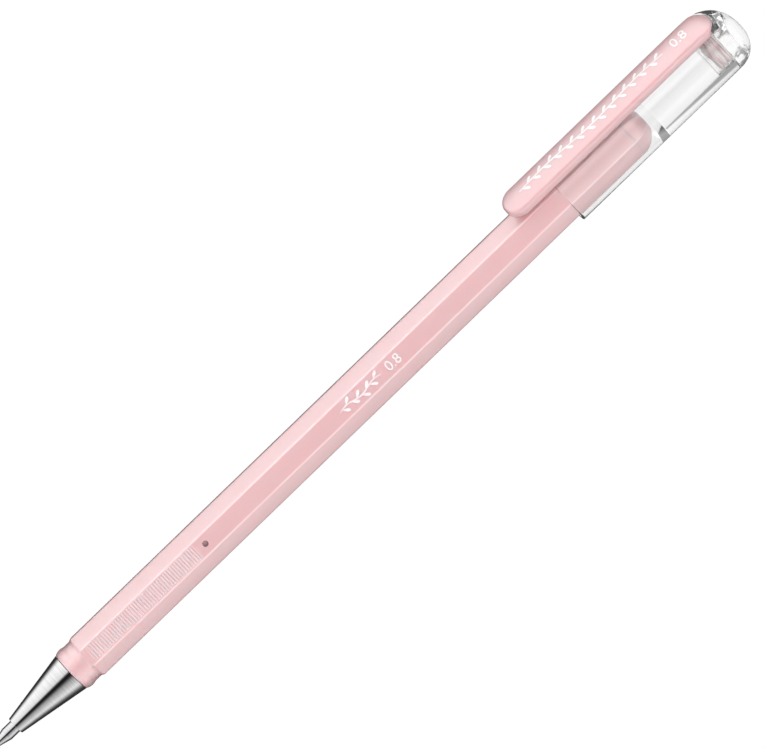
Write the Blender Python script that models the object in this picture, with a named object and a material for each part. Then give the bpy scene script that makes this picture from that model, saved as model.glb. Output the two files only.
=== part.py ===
"""A slim capped gel pen with its cap posted on the tail, built piece by piece.

The pen lies along X with its writing tip towards -X, one barrel flat up and one down. Its cap
touches the ground plane z = 0. Sizes are in millimetres, and stations are measured along the pen
from the tip of the ball; `finish` turns both into metres in the world.
"""

import math

import bmesh
import bpy
from mathutils import Matrix, Vector

MM = 0.001

# Whole pen
POSTED_LENGTH = 164.9
MIDDLE = POSTED_LENGTH / 2
CAP_RADIUS = 4.92
AXIS_Y = -0.997  # centres the width, which the clip makes lopsided
AXIS_Z = CAP_RADIUS
ROUND = 32  # sides of a large turned piece
SMALL_ROUND = 24  # sides of a small one

# Writing tip
BALL_RADIUS = 0.40
SOCKET_RADIUS = 0.425
LIP_STATION = 0.22
LIP_RADIUS = 0.43
NIB_RADIUS = 1.13
NIB_TAPER_END = 2.94
NIB_SHOULDER = 6.4
NIB_SHANK_RADIUS = 0.78
NIB_END = 10.4
NIB_THROAT_RADIUS = 0.25
NIB_BORE_RADIUS = 0.45

# Nose cone, which screws into the barrel's front
CONE_FRONT = 4.86
CONE_BACK = 17.14
CONE_FRONT_RADIUS = 1.52
CONE_BACK_RADIUS = 3.55
CONE_HOLE_RADIUS = 1.18
CONE_HOLE_END = 7.4
CONE_BORE_START_RADIUS = 1.3
CONE_BORE_RADIUS = 2.62
THREAD_ROOT_RADIUS = 2.86
THREAD_CREST_RADIUS = 3.02
THREAD_START = 17.9
THREAD_PITCH = 0.8
THREAD_TURNS = 5
CONE_SPIGOT_END = 22.3

# Refill
HOLDER_FRONT = 8.2
HOLDER_FRONT_RADIUS = 1.2
HOLDER_CONE_END = 16.0
HOLDER_CONE_RADIUS = 2.3
HOLDER_FLANGE_START = 17.3
HOLDER_FLANGE_RADIUS = 2.5
HOLDER_END = 27.0
HOLDER_SOCKET_RADIUS = 0.80
HOLDER_SOCKET_END = 10.7
HOLDER_CHANNEL_RADIUS = 0.6
HOLDER_BORE_START = 20.0
HOLDER_BORE_RADIUS = 1.6
TUBE_FRONT = 22.6
TUBE_END = 130.0
TUBE_RADIUS = 2.7
TUBE_BORE_RADIUS = 2.3
INK_FRONT = 20.6
INK_NOSE_RADIUS = 1.5
INK_END = 105.0
FOLLOWER_END = 111.0
FILL_RADIUS = 2.26  # what fills the tube, or plugs into it

# Barrel
BARREL_FRONT = 17.2
BARREL_END = 139.75
COLLAR_RADIUS = 3.60
BEAD_STATION = 18.1
BEAD_HALF_LENGTH = 0.9
BEAD_HEIGHT = 0.19
NECK_RADIUS = 3.70
NECK_END = 20.1
SHOULDER_LENGTH = 0.8
HALF_FLAT = 3.944  # from the axis to a flat
CORNER_RADIUS = 0.5
THINNING_START = 116.0  # behind this the barrel is a little thinner, to take the cap
THINNING_END = 118.0
TAIL_HALF_FLAT = 3.914
BORE_RADIUS = 3.0
THREAD_BORE_RADIUS = 3.08
THREAD_BORE_END = 22.6
GROOVE_FIRST = 21.8
GROOVE_PITCH = 0.5
GROOVE_COUNT = 47
GROOVE_WIDTH = 0.26
GROOVE_DEPTH = 0.1
GROOVE_HALF_LENGTH = 1.32
GROOVED_FLATS = (0, 90, 180, 270)  # degrees from straight up, towards +Y
VENT_STATION = 46.8
VENT_RADIUS = 0.48

# Tail plug
PLUG_FRONT = 133.0
PLUG_SPIGOT_RADIUS = 2.93
PLUG_BORE_RADIUS = 2.2
PLUG_BORE_END = 139.2
PLUG_SHOULDER = 139.8
PLUG_END = 143.8

# Cap tube
MOUTH = 125.6
MOUTH_ROUNDING = 0.15
MOUTH_CHAMFER = 0.3
CAP_BORE_RADIUS = 4.37
CAP_SEAT_START = 143.2
CAP_SEAT_END = 144.7
CAP_NARROW_RADIUS = 3.54
CAP_TUBE_END = 160.2

# Cap head: a clear dome with a lug that takes the clip's root
HEAD_SPIGOT_FRONT = 156.7
HEAD_SPIGOT_RADIUS = 3.49
HEAD_BORE_RADIUS = 3.05
HEAD_BORE_END = 160.2
HEAD_POCKET_RADIUS = 2.86
HEAD_POCKET_END = 162.1
HEAD_FRONT = 160.25
LUG_CURVE_START = 157.6
LUG_HALF_WIDTH = 3.0
LUG_CORNER = 1.6
HEAD_FULLNESS = 2.2  # 2 would end the dome and the lug in an ellipse, and more is blunter

# Seal inside the head, which grips the nib when the cap is on the writing end
SEAL_FRONT = 157.8
SEAL_RADIUS = 3.0
SEAL_GROOVE_RADIUS = 2.8
SEAL_HOLE_RADIUS = 1.05
SEAL_RIB_PITCH = 0.8
SEAL_RIBS = 3

# Clip
CLIP_ANGLE = math.radians(45)  # from straight up, towards +Y
CLIP_FREE_END = 117.35
CLIP_ROOT_END = 161.75
CLIP_HALF_WIDTH = 2.7
CLIP_INNER = 5.4  # from the pen's axis
CLIP_OUTER = 7.84
CLIP_FILLET = 0.7
CLIP_CROWN = math.radians(20)  # how far its outer face leans over where the fillets start
CLIP_CLEARANCE = 0.2  # round the root, so that the clip can flex
FOOT_FRONT = 160.4
FOOT_BACK = 161.4
FOOT_HALF_WIDTH = 1.2
FOOT_INNER = 4.0
CLIP_PIVOT_STATION = 160.9
CLIP_PIVOT_RADIUS = 4.7

# Colours (linear RGB), metallic, roughness, alpha
PEARL_PINK = ((0.83, 0.53, 0.55), 0.0, 0.28, 1.0)
CLEAR = ((0.93, 0.93, 0.93), 0.0, 0.06, 0.3)
POLISHED_METAL = ((0.72, 0.72, 0.72), 1.0, 0.14, 1.0)
CARBIDE = ((0.55, 0.55, 0.57), 1.0, 0.1, 1.0)
MILKY_PLASTIC = ((0.86, 0.84, 0.82), 0.0, 0.35, 0.75)
GEL_INK = ((0.85, 0.42, 0.47), 0.0, 0.3, 1.0)
GREASE = ((0.87, 0.85, 0.74), 0.0, 0.2, 0.8)
SOFT_SEAL = ((0.62, 0.42, 0.43), 0.0, 0.45, 0.9)


def across(station, angle, radius):
    """The point at a station, at an angle from straight up towards +Y and a distance from the axis."""
    return Vector(
        (
            station - MIDDLE,
            AXIS_Y + radius * math.sin(angle),
            AXIS_Z + radius * math.cos(angle),
        )
    )


def beside_clip(station, sideways, outward):
    """The point at a station, given in the clip's own directions."""
    return across(station, math.atan2(sideways, outward) + CLIP_ANGLE, math.hypot(sideways, outward))


def circle(station, radius, angles):
    if radius == 0:
        return [across(station, 0, 0)]
    return [across(station, angle, radius) for angle in angles]


def even_angles(count):
    return [2 * math.pi * i / count for i in range(count)]


def skin(rings):
    """A closed surface through rings of points. A ring of one point is an end on the axis; with
    no such ends, the last ring joins the first, which makes a hollow piece."""
    bm = bmesh.new()
    loops = [[bm.verts.new(point) for point in ring] for ring in rings]
    if len(loops[0]) > 1:
        loops.append(loops[0])
    for one, other in zip(loops, loops[1:]):
        count = max(len(one), len(other))
        for i in range(count):
            following = (i + 1) % count
            corners = [one[i % len(one)], one[following % len(one)]]
            corners += [other[following % len(other)], other[i % len(other)]]
            bm.faces.new(list(dict.fromkeys(corners)))
    bmesh.ops.recalc_face_normals(bm, faces=bm.faces)
    return bm


def turned(profile, sides):
    """A solid of revolution about the pen's axis, from (station, radius) pairs."""
    bm = bmesh.new()
    corners = [bm.verts.new(across(station, 0, radius)) for station, radius in profile]
    edges = [bm.edges.new(pair) for pair in zip(corners, corners[1:])]
    if profile[0][1] > 0:
        edges.append(bm.edges.new((corners[-1], corners[0])))
    bmesh.ops.spin(
        bm,
        geom=corners + edges,
        cent=across(0, 0, 0),
        axis=(1, 0, 0),
        angle=2 * math.pi,
        steps=sides,
        use_merge=True,
    )
    bmesh.ops.remove_doubles(bm, verts=bm.verts, dist=0.0005)
    bmesh.ops.recalc_face_normals(bm, faces=bm.faces)
    return bm


def block(low, high):
    """A box in the clip's own directions, from two corners (station, sideways, outward)."""
    bm = bmesh.new()
    bmesh.ops.create_cube(bm, size=1)
    for vert in bm.verts:
        spot = [a if co < 0 else b for co, a, b in zip(vert.co, low, high)]
        vert.co = beside_clip(*spot)
    bmesh.ops.recalc_face_normals(bm, faces=bm.faces)
    return bm


def finish(name, bm, origin=None, finish_values=None):
    """The named object, in metres, with its origin at a point. With no finish it is a helper."""
    origin = origin or across(MIDDLE, 0, 0)
    bm.transform(Matrix.Scale(MM, 4) @ Matrix.Translation(-origin))
    mesh = bpy.data.meshes.new(name)
    bm.to_mesh(mesh)
    bm.free()
    mesh.shade_smooth()
    mesh.set_sharp_from_angle(angle=math.radians(30))
    obj = bpy.data.objects.new(name, mesh)
    obj.location = origin * MM
    bpy.context.scene.collection.objects.link(obj)
    if finish_values is None:
        obj.hide_render = True
        obj.display_type = "WIRE"
    else:
        mesh.materials.append(material(name, *finish_values))
    return obj


def material(name, colour, metallic, roughness, alpha):
    made = bpy.data.materials.new(name)
    made.use_nodes = True
    shader = made.node_tree.nodes["Principled BSDF"]
    shader.inputs["Base Color"].default_value = (*colour, 1)
    shader.inputs["Metallic"].default_value = metallic
    shader.inputs["Roughness"].default_value = roughness
    shader.inputs["Alpha"].default_value = alpha
    return made


def combine(obj, helper, operation):
    modifier = obj.modifiers.new(helper.name, "BOOLEAN")
    modifier.object = helper
    modifier.operation = operation


# Writing tip and refill


def ball():
    bm = bmesh.new()
    centre = across(BALL_RADIUS, 0, 0)
    bmesh.ops.create_uvsphere(
        bm,
        u_segments=20,
        v_segments=10,
        radius=BALL_RADIUS,
        matrix=Matrix.Translation(centre),
    )
    finish("ball", bm, centre, CARBIDE)


def nib():
    """A metal point: the socket that holds the ball, its taper, and a shank in the holder."""
    socket_start = math.asin(NIB_THROAT_RADIUS / SOCKET_RADIUS)
    socket_end = math.acos((LIP_STATION - BALL_RADIUS) / SOCKET_RADIUS)
    steps = 4
    socket = []
    for i in range(steps + 1):
        angle = socket_start + (socket_end - socket_start) * i / steps
        socket.append(
            (BALL_RADIUS + SOCKET_RADIUS * math.cos(angle), SOCKET_RADIUS * math.sin(angle))
        )
    profile = [
        (LIP_STATION, LIP_RADIUS),
        (NIB_TAPER_END, NIB_RADIUS),
        (NIB_SHOULDER, NIB_RADIUS),
        (NIB_SHOULDER, NIB_SHANK_RADIUS),
        (NIB_END, NIB_SHANK_RADIUS),
        (NIB_END, NIB_BORE_RADIUS),
        (NIB_TAPER_END, NIB_BORE_RADIUS),
        (NIB_TAPER_END - 0.4, NIB_THROAT_RADIUS),
    ]
    finish("nib", turned(profile + socket, SMALL_ROUND), None, POLISHED_METAL)


def tip_holder():
    """The plastic piece between nib and ink tube, with the channel that feeds the nib."""
    profile = [
        (HOLDER_FRONT, HOLDER_SOCKET_RADIUS),
        (HOLDER_FRONT, HOLDER_FRONT_RADIUS),
        (HOLDER_CONE_END, HOLDER_CONE_RADIUS),
        (HOLDER_FLANGE_START, HOLDER_CONE_RADIUS),
        (HOLDER_FLANGE_START, HOLDER_FLANGE_RADIUS),
        (TUBE_FRONT - 0.1, HOLDER_FLANGE_RADIUS),
        (TUBE_FRONT - 0.1, FILL_RADIUS),
        (HOLDER_END, FILL_RADIUS),
        (HOLDER_END, HOLDER_BORE_RADIUS),
        (HOLDER_BORE_START, HOLDER_BORE_RADIUS),
        (HOLDER_BORE_START - 1, HOLDER_CHANNEL_RADIUS),
        (HOLDER_SOCKET_END, HOLDER_CHANNEL_RADIUS),
        (HOLDER_SOCKET_END, HOLDER_SOCKET_RADIUS),
    ]
    finish("tip_holder", turned(profile, SMALL_ROUND), None, MILKY_PLASTIC)


def ink_tube():
    profile = [
        (TUBE_FRONT, TUBE_RADIUS),
        (TUBE_END, TUBE_RADIUS),
        (TUBE_END, TUBE_BORE_RADIUS),
        (TUBE_FRONT, TUBE_BORE_RADIUS),
    ]
    finish("ink_tube", turned(profile, SMALL_ROUND), None, MILKY_PLASTIC)


def ink_column():
    profile = [
        (INK_FRONT, 0),
        (INK_FRONT, INK_NOSE_RADIUS),
        (HOLDER_END + 0.1, INK_NOSE_RADIUS),
        (HOLDER_END + 0.1, FILL_RADIUS),
        (INK_END, FILL_RADIUS),
        (INK_END, 0),
    ]
    finish("ink_column", turned(profile, SMALL_ROUND), None, GEL_INK)


def ink_follower():
    """The plug of grease that follows the ink down the tube."""
    front = INK_END + 0.1
    profile = [(front, 0), (front, FILL_RADIUS), (FOLLOWER_END, FILL_RADIUS), (FOLLOWER_END, 0)]
    finish("ink_follower", turned(profile, SMALL_ROUND), None, GREASE)


def nose_cone():
    """Outside a plain cone; behind it a threaded spigot, whose thread is drawn as rings."""
    profile = [
        (CONE_FRONT, CONE_HOLE_RADIUS),
        (CONE_FRONT, CONE_FRONT_RADIUS),
        (CONE_BACK, CONE_BACK_RADIUS),
        (CONE_BACK, THREAD_ROOT_RADIUS),
    ]
    for turn in range(THREAD_TURNS):
        start = THREAD_START + turn * THREAD_PITCH
        profile.append((start, THREAD_ROOT_RADIUS))
        profile.append((start + 0.3 * THREAD_PITCH, THREAD_CREST_RADIUS))
        profile.append((start + 0.5 * THREAD_PITCH, THREAD_CREST_RADIUS))
        profile.append((start + 0.8 * THREAD_PITCH, THREAD_ROOT_RADIUS))
    profile += [
        (CONE_SPIGOT_END, THREAD_ROOT_RADIUS),
        (CONE_SPIGOT_END, CONE_BORE_RADIUS),
        (CONE_BACK, CONE_BORE_RADIUS),
        (CONE_HOLE_END, CONE_BORE_START_RADIUS),
        (CONE_HOLE_END, CONE_HOLE_RADIUS),
    ]
    finish("nose_cone", turned(profile, ROUND), across(CONE_BACK, 0, 0), POLISHED_METAL)


# Barrel and tail plug


def octagon():
    """(angle, radius) round an octagon of the barrel's size, with its corners rounded."""
    half_side = math.radians(22.5)
    corner_reach = (HALF_FLAT - CORNER_RADIUS) / math.cos(half_side)
    outline = []
    for flat in range(8):
        normal = flat * 2 * half_side
        for offset in (-10, 0, 10):
            turn = math.radians(offset)
            outline.append((normal + turn, HALF_FLAT / math.cos(turn)))
        for turn in (0, half_side, 2 * half_side):
            along = corner_reach * math.cos(half_side) + CORNER_RADIUS * math.cos(turn)
            aside = corner_reach * math.sin(half_side) + CORNER_RADIUS * math.sin(turn)
            outline.append((normal + math.atan2(aside, along), math.hypot(along, aside)))
    return outline


OCTAGON = octagon()
OCTAGON_ANGLES = [angle for angle, _ in OCTAGON]


def eight_sided(station, half_flat, squareness):
    """A ring that is round at squareness 0 and the barrel's octagon at 1."""
    return [
        across(station, angle, half_flat + squareness * (radius - HALF_FLAT))
        for angle, radius in OCTAGON
    ]


def barrel():
    rings = []
    for i in range(-3, 4):
        t = i / 3
        base = COLLAR_RADIUS + (NECK_RADIUS - COLLAR_RADIUS) * (t + 1) / 2
        bulge = BEAD_HEIGHT * math.cos(t * math.pi / 2)
        rings.append(eight_sided(BEAD_STATION + t * BEAD_HALF_LENGTH, base + bulge, 0))
    for i in range(4):
        t = i / 3
        eased = t * t * (3 - 2 * t)
        half_flat = NECK_RADIUS + (HALF_FLAT - NECK_RADIUS) * eased
        rings.append(eight_sided(NECK_END + t * SHOULDER_LENGTH, half_flat, eased))
    rings.append(eight_sided(THINNING_START, HALF_FLAT, 1))
    rings.append(eight_sided(THINNING_END, TAIL_HALF_FLAT, 1))
    rings.append(eight_sided(BARREL_END, TAIL_HALF_FLAT, 1))
    rings.append(circle(BARREL_END, BORE_RADIUS, OCTAGON_ANGLES))
    rings.append(circle(THREAD_BORE_END, BORE_RADIUS, OCTAGON_ANGLES))
    rings.append(circle(THREAD_BORE_END, THREAD_BORE_RADIUS, OCTAGON_ANGLES))
    rings.append(circle(BARREL_FRONT, THREAD_BORE_RADIUS, OCTAGON_ANGLES))
    obj = finish("barrel", skin(rings), across(BARREL_FRONT, 0, 0), PEARL_PINK)
    combine(obj, grip_grooves(), "DIFFERENCE")
    combine(obj, vent(), "DIFFERENCE")


def grip_grooves():
    """V-shaped cutters across every second flat of the grip."""
    bm = bmesh.new()
    above = HALF_FLAT + 0.05
    floor = HALF_FLAT - GROOVE_DEPTH
    half_width = GROOVE_WIDTH / 2 * (above - floor) / GROOVE_DEPTH
    for degrees in GROOVED_FLATS:
        normal = math.radians(degrees)
        for i in range(GROOVE_COUNT):
            station = GROOVE_FIRST + i * GROOVE_PITCH
            ends = []
            for aside in (-GROOVE_HALF_LENGTH, GROOVE_HALF_LENGTH):
                corners = ((-half_width, above), (half_width, above), (0, floor))
                ends.append(
                    [
                        bm.verts.new(
                            across(
                                station + along,
                                normal + math.atan2(aside, height),
                                math.hypot(aside, height),
                            )
                        )
                        for along, height in corners
                    ]
                )
            bm.faces.new(ends[0])
            bm.faces.new(ends[1])
            for a, b in ((0, 1), (1, 2), (2, 0)):
                bm.faces.new((ends[0][a], ends[0][b], ends[1][b], ends[1][a]))
    bmesh.ops.recalc_face_normals(bm, faces=bm.faces)
    return finish("grip_groove_cutters", bm)


def vent():
    bm = bmesh.new()
    bmesh.ops.create_cone(
        bm,
        cap_ends=True,
        segments=16,
        radius1=VENT_RADIUS,
        radius2=VENT_RADIUS,
        depth=2,
        matrix=Matrix.Translation(across(VENT_STATION, 0, HALF_FLAT)),
    )
    return finish("vent_cutter", bm)


def tail_plug():
    """A hollow spigot in the barrel's end, and a dome that fades from eight sides to round."""
    rings = [
        circle(PLUG_BORE_END, 0, OCTAGON_ANGLES),
        circle(PLUG_BORE_END, PLUG_BORE_RADIUS, OCTAGON_ANGLES),
        circle(PLUG_FRONT, PLUG_BORE_RADIUS, OCTAGON_ANGLES),
        circle(PLUG_FRONT, PLUG_SPIGOT_RADIUS, OCTAGON_ANGLES),
        circle(PLUG_SHOULDER, PLUG_SPIGOT_RADIUS, OCTAGON_ANGLES),
    ]
    steps = 6
    for i in range(steps):
        angle = i / steps * math.pi / 2
        station = PLUG_SHOULDER + (PLUG_END - PLUG_SHOULDER) * math.sin(angle)
        rings.append(
            eight_sided(station, TAIL_HALF_FLAT * math.cos(angle), math.cos(angle) ** 2)
        )
    rings.append(circle(PLUG_END, 0, OCTAGON_ANGLES))
    finish("tail_plug", skin(rings), across(PLUG_SHOULDER, 0, 0), PEARL_PINK)


# Cap


def cap_tube():
    profile = [
        (MOUTH, CAP_BORE_RADIUS + MOUTH_ROUNDING),
        (MOUTH, CAP_RADIUS - MOUTH_ROUNDING),
        (MOUTH + MOUTH_ROUNDING, CAP_RADIUS),
        (CAP_TUBE_END, CAP_RADIUS),
        (CAP_TUBE_END, CAP_NARROW_RADIUS),
        (CAP_SEAT_END, CAP_NARROW_RADIUS),
        (CAP_SEAT_START, CAP_BORE_RADIUS),
        (MOUTH + MOUTH_CHAMFER, CAP_BORE_RADIUS),
    ]
    finish("cap_tube", turned(profile, ROUND), across(MOUTH, 0, 0), CLEAR)


def closing(station, start):
    """1 as far as a station, then falling along a blunt curve to 0 at the cap's end."""
    t = max(0, (station - start) / (POSTED_LENGTH - start))
    return max(0, 1 - t ** HEAD_FULLNESS) ** (1 / HEAD_FULLNESS)


def head_ring(station, angles):
    """The dome's circle and the lug's square-shouldered outline, wrapped in one convex curve."""
    dome = CAP_RADIUS * closing(station, HEAD_FRONT)
    shrink = closing(station, LUG_CURVE_START)
    corner = LUG_CORNER * shrink
    out = CLIP_OUTER * shrink - corner
    aside = LUG_HALF_WIDTH * shrink - corner
    ring = []
    for angle in angles:
        reach = math.inf
        for i in range(-80, 81):
            turn = math.radians(i)
            facing = angle + turn - CLIP_ANGLE
            lug = out * math.cos(facing) + aside * abs(math.sin(facing)) + corner
            reach = min(reach, max(dome, lug) / math.cos(turn))
        ring.append(across(station, angle, reach))
    return ring


def cap_head():
    angles = even_angles(40)
    rings = [
        circle(HEAD_POCKET_END, 0, angles),
        circle(HEAD_POCKET_END, HEAD_POCKET_RADIUS, angles),
        circle(HEAD_BORE_END, HEAD_POCKET_RADIUS, angles),
        circle(HEAD_BORE_END, HEAD_BORE_RADIUS, angles),
        circle(HEAD_SPIGOT_FRONT, HEAD_BORE_RADIUS, angles),
        circle(HEAD_SPIGOT_FRONT, HEAD_SPIGOT_RADIUS, angles),
        circle(HEAD_FRONT, HEAD_SPIGOT_RADIUS, angles),
        head_ring(HEAD_FRONT, angles),
    ]
    steps = 7
    for i in range(1, steps):
        angle = i / steps * math.pi / 2
        station = HEAD_FRONT + (POSTED_LENGTH - HEAD_FRONT) * math.sin(angle)
        rings.append(head_ring(station, angles))
    rings.append(circle(POSTED_LENGTH, 0, angles))
    obj = finish("cap_head", skin(rings), across(HEAD_FRONT, 0, 0), CLEAR)
    notch = finish("clip_notch_cutter", clip_bar(CLIP_CLEARANCE, CLIP_OUTER + 1))
    combine(obj, notch, "DIFFERENCE")
    grown = CLIP_CLEARANCE
    low = (FOOT_FRONT - grown, -FOOT_HALF_WIDTH - grown, FOOT_INNER - grown)
    high = (FOOT_BACK + grown, FOOT_HALF_WIDTH + grown, CLIP_INNER + 1)
    combine(obj, finish("clip_foot_cutter", block(low, high)), "DIFFERENCE")


def inner_seal():
    """A soft ring with ribs round it and a hole that the nib fits."""
    profile = [(SEAL_FRONT, SEAL_HOLE_RADIUS)]
    for rib in range(SEAL_RIBS):
        start = SEAL_FRONT + rib * SEAL_RIB_PITCH
        profile.append((start, SEAL_GROOVE_RADIUS))
        profile.append((start + 0.2 * SEAL_RIB_PITCH, SEAL_RADIUS))
        profile.append((start + 0.6 * SEAL_RIB_PITCH, SEAL_RADIUS))
        profile.append((start + 0.8 * SEAL_RIB_PITCH, SEAL_GROOVE_RADIUS))
    profile.append((profile[-1][0], SEAL_HOLE_RADIUS))
    finish("inner_seal", turned(profile, SMALL_ROUND), None, SOFT_SEAL)


def clip_layers():
    """The clip's cross-section from its inner face up, as (inset from the side, share of the
    thickness): a fillet, a fillet, and half of a crowned outer face."""
    thickness = CLIP_OUTER - CLIP_INNER
    crown_radius = (CLIP_HALF_WIDTH - CLIP_FILLET) / math.sin(CLIP_CROWN) + CLIP_FILLET
    fillet_centre = thickness - crown_radius + (crown_radius - CLIP_FILLET) * math.cos(CLIP_CROWN)
    layers = []
    steps = 3
    for i in range(steps + 1):
        turn = i / steps * math.pi / 2
        layers.append((CLIP_FILLET * (1 - math.sin(turn)), CLIP_FILLET * (1 - math.cos(turn))))
    for i in range(steps + 1):
        turn = math.pi / 2 - i / steps * (math.pi / 2 - CLIP_CROWN)
        height = fillet_centre + CLIP_FILLET * math.cos(turn)
        layers.append((CLIP_FILLET * (1 - math.sin(turn)), height))
    for share in (0.7, 0.4, 0.03):
        turn = CLIP_CROWN * share
        height = thickness - crown_radius * (1 - math.cos(turn))
        layers.append((CLIP_HALF_WIDTH - crown_radius * math.sin(turn), height))
    return [(inset, height / thickness) for inset, height in layers]


def clip_bar(grown=0, outer=None):
    """The clip's long rounded bar: its plan, stacked from inner to outer face. Grown, and with
    its outer face further out, it is the cutter for the notch that it lies in."""
    half_width = CLIP_HALF_WIDTH + grown
    inner = CLIP_INNER - grown
    free_centre = CLIP_FREE_END + CLIP_HALF_WIDTH
    root_centre = CLIP_ROOT_END - CLIP_HALF_WIDTH
    end_steps = 6
    bm = bmesh.new()
    rows = []
    for inset, share in clip_layers():
        radius = half_width - inset
        spots = []
        for i in range(end_steps + 1):
            turn = i / end_steps * math.pi / 2
            spots.append((free_centre - radius * math.cos(turn), radius * math.sin(turn)))
        for i in range(1, 4):
            spots.append((free_centre + (root_centre - free_centre) * i / 4, radius))
        for i in range(end_steps + 1):
            turn = (1 - i / end_steps) * math.pi / 2
            spots.append((root_centre + radius * math.cos(turn), radius * math.sin(turn)))
        row = []
        for station, aside in spots:
            top = outer or CLIP_OUTER * closing(station, LUG_CURVE_START)
            height = inner + (top - inner) * share
            sides = [beside_clip(station, aside, height)]
            if aside > 1e-6:
                sides.append(beside_clip(station, -aside, height))
            row.append([bm.verts.new(point) for point in sides])
        rows.append(row)
    for low, high in zip(rows, rows[1:]):
        for i in range(len(low) - 1):
            for side in (0, -1):
                corners = [low[i][side], low[i + 1][side], high[i + 1][side], high[i][side]]
                bm.faces.new(corners)
    for row in (rows[0], rows[-1]):
        for here, after in zip(row, row[1:]):
            corners = [here[0], after[0], after[-1], here[-1]]
            bm.faces.new(list(dict.fromkeys(corners)))
    bmesh.ops.recalc_face_normals(bm, faces=bm.faces)
    return bm


def clip():
    pivot = beside_clip(CLIP_PIVOT_STATION, 0, CLIP_PIVOT_RADIUS)
    obj = finish("clip", clip_bar(), pivot, PEARL_PINK)
    low = (FOOT_FRONT, -FOOT_HALF_WIDTH, FOOT_INNER)
    high = (FOOT_BACK, FOOT_HALF_WIDTH, CLIP_INNER + 0.5)
    combine(obj, finish("clip_foot", block(low, high)), "UNION")


def main():
    for obj in list(bpy.data.objects):
        bpy.data.objects.remove(obj)
    ball()
    nib()
    tip_holder()
    ink_tube()
    ink_column()
    ink_follower()
    nose_cone()
    barrel()
    tail_plug()
    cap_tube()
    cap_head()
    inner_seal()
    clip()


main()
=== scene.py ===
"""The looks of a slim capped gel pen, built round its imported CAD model.

Sizes are in millimetres and stations are measured along the pen from the tip of its ball, as a
turner would measure it. `place` turns both into metres in the CAD model's frame.
"""

import math

import bmesh
import bpy
from mathutils import Matrix, Vector

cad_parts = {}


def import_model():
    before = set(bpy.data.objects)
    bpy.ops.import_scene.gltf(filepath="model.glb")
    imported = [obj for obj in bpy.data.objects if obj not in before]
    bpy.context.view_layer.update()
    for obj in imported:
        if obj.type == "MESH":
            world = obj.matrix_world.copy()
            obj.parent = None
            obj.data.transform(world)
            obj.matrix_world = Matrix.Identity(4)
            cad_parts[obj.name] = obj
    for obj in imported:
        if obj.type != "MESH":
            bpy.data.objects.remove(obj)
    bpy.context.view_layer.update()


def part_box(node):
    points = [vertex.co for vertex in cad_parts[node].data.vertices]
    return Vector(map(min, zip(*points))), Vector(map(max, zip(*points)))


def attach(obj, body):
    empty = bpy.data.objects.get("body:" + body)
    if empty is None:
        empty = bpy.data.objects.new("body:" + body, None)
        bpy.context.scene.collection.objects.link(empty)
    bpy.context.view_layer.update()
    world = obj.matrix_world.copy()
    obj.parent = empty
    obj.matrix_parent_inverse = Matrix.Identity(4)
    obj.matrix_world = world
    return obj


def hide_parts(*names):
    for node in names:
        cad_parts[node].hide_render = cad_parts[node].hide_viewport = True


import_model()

MM = 0.001


# Where things are, from the frame

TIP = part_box("ball")[0].x
AXIS = (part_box("ink_tube")[0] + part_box("ink_tube")[1]) / 2


def span(node):
    """The stations of a CAD node's front and back ends."""
    low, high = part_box(node)
    return (low.x - TIP) / MM, (high.x - TIP) / MM


def girth(node):
    """A round or eight-sided CAD node's radius, measured straight up and down."""
    low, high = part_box(node)
    return (high.z - low.z) / 2 / MM


def place(station, angle, radius):
    """The point at a station, at an angle from straight up towards +Y and a distance from the axis."""
    return Vector(
        (
            TIP + station * MM,
            AXIS.y + radius * math.sin(angle) * MM,
            AXIS.z + radius * math.cos(angle) * MM,
        )
    )


def beside(facing, station, aside, outward):
    """The point at a station, in the directions of a face that looks out at an angle."""
    return place(station, facing + math.atan2(aside, outward), math.hypot(aside, outward))


BALL_RADIUS = girth("ball")
NIB_RADIUS = girth("nib")
CONE_BACK_RADIUS = girth("nose_cone")
HALF_FLAT = girth("barrel")
TAIL_HALF_FLAT = girth("tail_plug")
CAP_RADIUS = girth("cap_tube")
TUBE_RADIUS = girth("ink_tube")
NIB_END = span("nib")[1]
CONE_FRONT, CONE_END = span("nose_cone")
HOLDER_FRONT, HOLDER_END = span("tip_holder")
TUBE_FRONT, TUBE_END = span("ink_tube")
INK_FRONT, INK_END = span("ink_column")
FOLLOWER_FRONT, FOLLOWER_END = span("ink_follower")
BARREL_FRONT = span("barrel")[0]
PLUG_FRONT, PLUG_END = span("tail_plug")
MOUTH, CAP_TUBE_END = span("cap_tube")
HEAD_SPIGOT_FRONT, HEAD_END = span("cap_head")
SEAL_FRONT, SEAL_END = span("inner_seal")
CLIP_FREE_END, CLIP_ROOT_END = span("clip")


# Sizes that the boxes don't hold: the writing tip and the refill

BALL_GAP = 0.025  # round the ball in its socket
SEAT_ANGLE = 0.63  # where the socket leaves the ink hole, round the ball from straight back
LIP_ANGLE = 2.0  # where the socket's lip ends, past the ball's widest
LIP_THICKNESS = 0.045
TAPER_START = 0.5
TAPER_START_RADIUS = 0.5
NIB_TAPER_END = 2.94
NIB_MARK = CONE_FRONT + 1.0
NIB_SHOULDER = 6.4
NIB_SHANK_RADIUS = 0.78
NIB_BORE_RADIUS = 0.45
INK_HOLE_RADIUS = 0.25
HOLDER_TIP_RADIUS = 1.2
HOLDER_TAPER_END = 16.0
HOLDER_RADIUS = 2.3
HOLDER_RIM = 17.3
HOLDER_RIM_RADIUS = 2.5
HOLDER_SPIGOT_RADIUS = 2.26
HOLDER_BORE_RADIUS = 1.6
HOLDER_BORE_END = 20.0
CHANNEL_END = 19.0
CHANNEL_RADIUS = 0.6
NIB_SOCKET_END = 10.7
NIB_SOCKET_RADIUS = 0.8
TUBE_WALL = 0.4
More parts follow.
